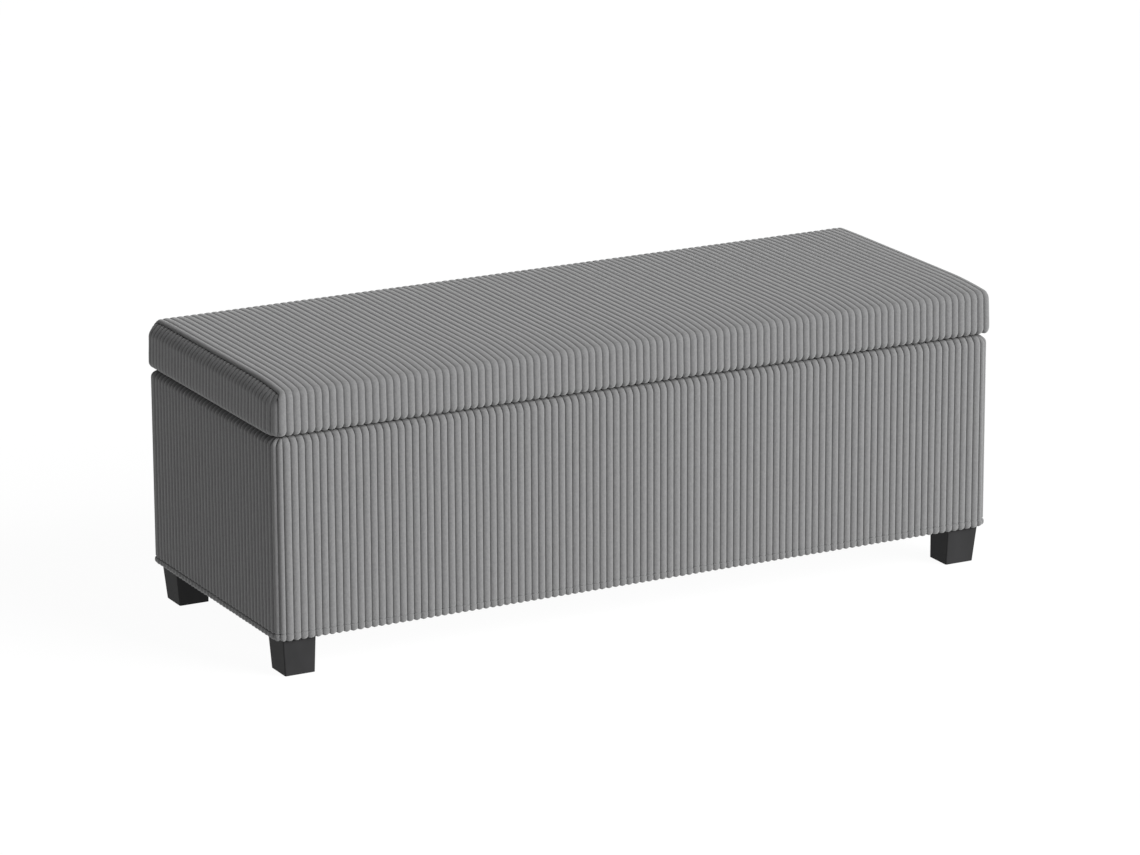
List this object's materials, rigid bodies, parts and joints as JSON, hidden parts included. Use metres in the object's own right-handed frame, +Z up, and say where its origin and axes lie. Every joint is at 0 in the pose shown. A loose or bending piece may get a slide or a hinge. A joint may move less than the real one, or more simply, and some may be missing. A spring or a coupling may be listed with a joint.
{
  "type": "storage bench",
  "caption": "Long upholstered storage bench with a padded corduroy lid hinged at the back, slotted lid stays and short tapered legs.",
  "frame": {"origin": "on the floor under the middle of the bench", "axes": "+Z up, the front is -Y, the length runs along X"},
  "size_m": [1.1034, 0.4144, 0.4027],
  "materials": {
    "corduroy": "matte",
    "foam": "matte",
    "fibreboard": "matte",
    "lining_fabric": "matte",
    "leg_plastic": "satin",
    "glide_plastic": "satin",
    "bumper_rubber": "matte",
    "hardware_steel": "satin",
    "zinc_steel": "satin"
  },
  "bodies": {
    "base": {"front_wall": "fibreboard", "back_wall": "fibreboard", "left_end_wall": "fibreboard", "right_end_wall": "fibreboard", "floor_board": "fibreboard", "wall_padding": "foam", "base_cover_front": "corduroy", "base_cover_back": "corduroy", "base_cover_left": "corduroy", "base_cover_right": "corduroy", "compartment_lining": "lining_fabric", "dust_cover": "lining_fabric", "corner_screws": "zinc_steel", "floor_screws": "zinc_steel", "lid_bumpers": "bumper_rubber", "leg_front_left": "leg_plastic", "leg_front_right": "leg_plastic", "leg_back_left": "leg_plastic", "leg_back_right": "leg_plastic", "leg_bolts": "zinc_steel", "leg_tee_nuts": "zinc_steel", "leg_glides": "glide_plastic", "left_hinge_base_leaf": "hardware_steel", "middle_hinge_base_leaf": "hardware_steel", "right_hinge_base_leaf": "hardware_steel", "left_hinge_pin": "hardware_steel", "middle_hinge_pin": "hardware_steel", "right_hinge_pin": "hardware_steel", "hinge_base_screws": "zinc_steel", "left_stay_plate": "hardware_steel", "right_stay_plate": "hardware_steel", "left_stay_stud": "hardware_steel", "right_stay_stud": "hardware_steel", "stay_plate_screws": "zinc_steel"},
    "lid": {"lid_board": "fibreboard", "lid_foam": "foam", "lid_cover": "corduroy", "lid_cover_left_end": "corduroy", "lid_cover_right_end": "corduroy", "lid_lining": "lining_fabric", "lid_staples": "zinc_steel", "left_hinge_lid_leaf": "hardware_steel", "middle_hinge_lid_leaf": "hardware_steel", "right_hinge_lid_leaf": "hardware_steel", "hinge_lid_screws": "zinc_steel", "left_stay_bracket": "hardware_steel", "right_stay_bracket": "hardware_steel", "left_stay_rivet": "hardware_steel", "right_stay_rivet": "hardware_steel", "stay_bracket_screws": "zinc_steel"},
    "left_stay": {"left_stay_arm": "hardware_steel"},
    "right_stay": {"right_stay_arm": "hardware_steel"}
  },
  "joints": [
    {"name": "lid_hinge", "type": "hinge", "parent": "base", "child": "lid", "pos_m": [0, 0.2044, 0.3331], "axis": [-1, 0, 0], "range_deg": [0, 95]},
    {"name": "left_stay_pivot", "type": "hinge", "parent": "lid", "child": "left_stay", "pos_m": [-0.522, 0.0648, 0.3225], "axis": [-1, 0, 0], "range_deg": [-48, 0]},
    {"name": "right_stay_pivot", "type": "hinge", "parent": "lid", "child": "right_stay", "pos_m": [0.522, 0.0648, 0.3225], "axis": [-1, 0, 0], "range_deg": [-48, 0]}
  ],
  "couplings": [
    {"joint": "left_stay_pivot", "follows": "lid_hinge", "ratio": -0.5},
    {"joint": "right_stay_pivot", "follows": "lid_hinge", "ratio": -0.5}
  ]
}
